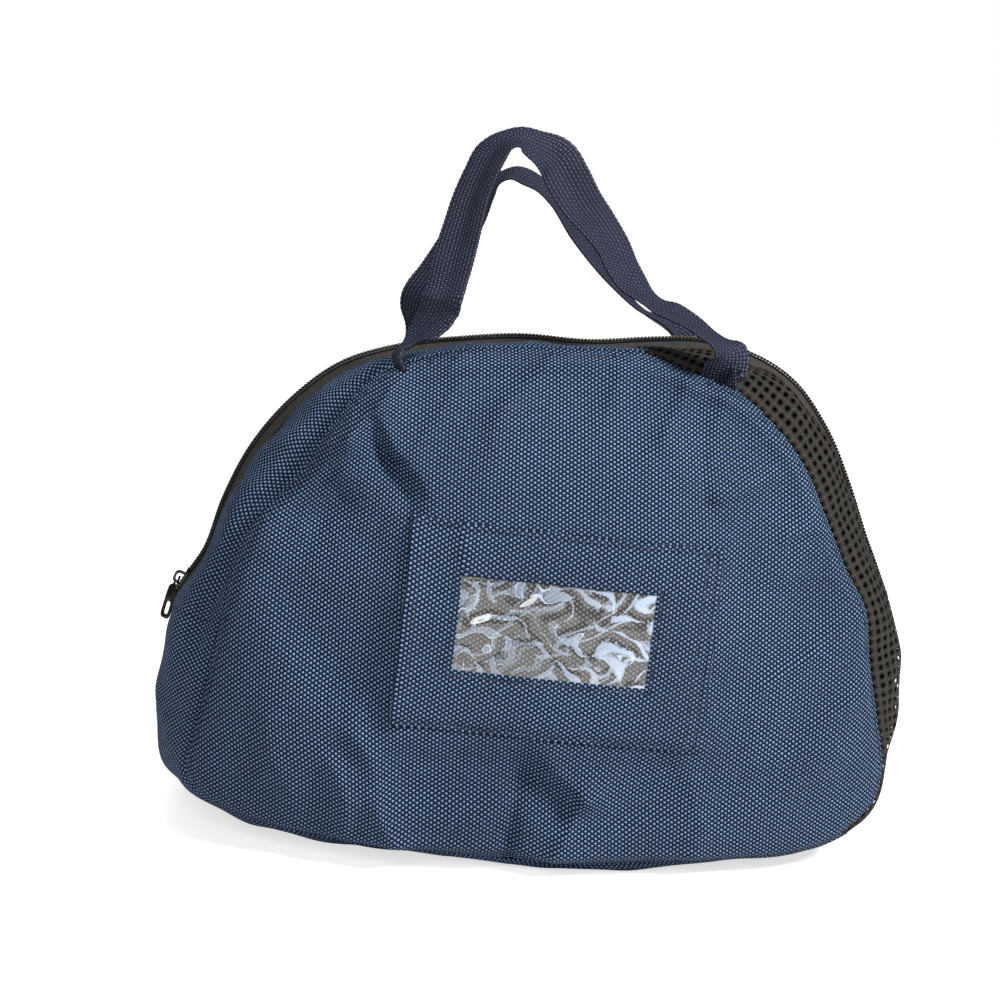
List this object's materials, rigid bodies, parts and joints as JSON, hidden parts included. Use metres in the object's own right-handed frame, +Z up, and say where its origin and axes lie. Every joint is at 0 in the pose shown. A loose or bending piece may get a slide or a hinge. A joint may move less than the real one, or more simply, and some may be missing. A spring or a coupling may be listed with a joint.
{
  "type": "helmet bag",
  "caption": "Half-round zipped helmet bag of navy woven cloth with mesh side, webbing grab handles and a card pocket with a clear window.",
  "frame": {"origin": "middle of the flat base, on the surface that the bag stands on", "axes": "+X along the zip towards the mesh side, -Y towards the front panel with the card pocket, +Z up"},
  "size_m": [0.3553, 0.2026, 0.3241],
  "materials": {
    "cloth": "coarse plain weave with a slight sheen",
    "air_mesh": "open knitted spacer mesh, matt",
    "zip_tape": "fine woven tape, matt",
    "zip_coil": "satin nylon coil",
    "slider_metal": "black gloss lacquer",
    "webbing": "ribbed woven webbing with a slight sheen",
    "clear_film": "clear glossy film, crinkled"
  },
  "bodies": {
    "bag": {"front_panel": "cloth", "back_panel": "cloth", "base_panel": "cloth", "left_end": "cloth", "side_cloth_front": "cloth", "side_cloth_back": "cloth", "side_mesh_front": "air_mesh", "side_mesh_back": "air_mesh", "mesh_end": "air_mesh", "zip_tape_front": "zip_tape", "zip_tape_back": "zip_tape", "zip_coil": "zip_coil", "zip_slider": "slider_metal", "card_pocket": "cloth", "card_window": "clear_film", "handle_front": "webbing", "handle_back": "webbing"},
    "zip_pull": {"pull_tab": "slider_metal"}
  },
  "joints": [
    {"name": "pull_tab_hinge", "type": "hinge", "parent": "bag", "child": "zip_pull", "pos_m": [-0.16907, 0, 0.10882], "axis": [0, 1, 0], "range_deg": [0, 150]}
  ]
}
